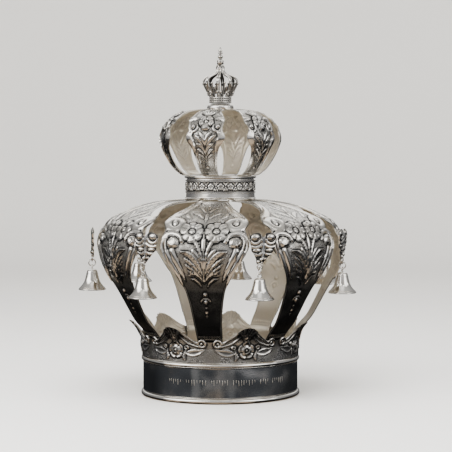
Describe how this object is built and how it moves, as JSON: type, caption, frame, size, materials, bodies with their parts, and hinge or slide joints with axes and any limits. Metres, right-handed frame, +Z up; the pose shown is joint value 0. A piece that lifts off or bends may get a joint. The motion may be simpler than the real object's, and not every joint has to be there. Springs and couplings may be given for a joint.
{
  "type": "torah_crown",
  "caption": "Two-tier torah crown of embossed silver: plain base band, scalloped gallery, swelling open ribs with hung bells, neck ring, small upper crown and spired finial.",
  "frame": {"origin": "on the table under the middle of the whole crown's footprint, bells included; the crown's round axis stands upright at x = 0, y = -7.0 mm", "axes": "+Z up along the crown's round axis towards the spire; the front main rib faces -Y"},
  "size_m": [0.3059, 0.3011, 0.3817],
  "materials": {
    "oxidised_silver": "embossed silver, bright on the high places and darkened in the recesses",
    "polished_silver": "mirror-polished silver with fine wear"
  },
  "bodies": {
    "root": {"base_band": "polished_silver", "gallery": "oxidised_silver", "main_rib_1": "oxidised_silver", "main_rib_2": "oxidised_silver", "main_rib_3": "oxidised_silver", "main_rib_4": "oxidised_silver", "main_rib_5": "oxidised_silver", "main_rib_6": "oxidised_silver", "main_rib_7": "oxidised_silver", "neck_ring": "oxidised_silver", "upper_rib_1": "oxidised_silver", "upper_rib_2": "oxidised_silver", "upper_rib_3": "oxidised_silver", "upper_rib_4": "oxidised_silver", "upper_rib_5": "oxidised_silver", "upper_rib_6": "oxidised_silver", "collar": "oxidised_silver", "finial_crown": "oxidised_silver", "hanger_1": "oxidised_silver", "hanger_2": "oxidised_silver", "hanger_3": "oxidised_silver", "hanger_4": "oxidised_silver", "hanger_5": "oxidised_silver", "hanger_6": "oxidised_silver", "hanger_7": "oxidised_silver", "ring_1": "polished_silver", "ring_2": "polished_silver", "ring_3": "polished_silver", "ring_4": "polished_silver", "ring_5": "polished_silver", "ring_6": "polished_silver", "ring_7": "polished_silver", "bell_1": "polished_silver", "bell_2": "polished_silver", "bell_3": "polished_silver", "bell_4": "polished_silver", "bell_5": "polished_silver", "bell_6": "polished_silver", "bell_7": "polished_silver"}
  },
  "joints": []
}
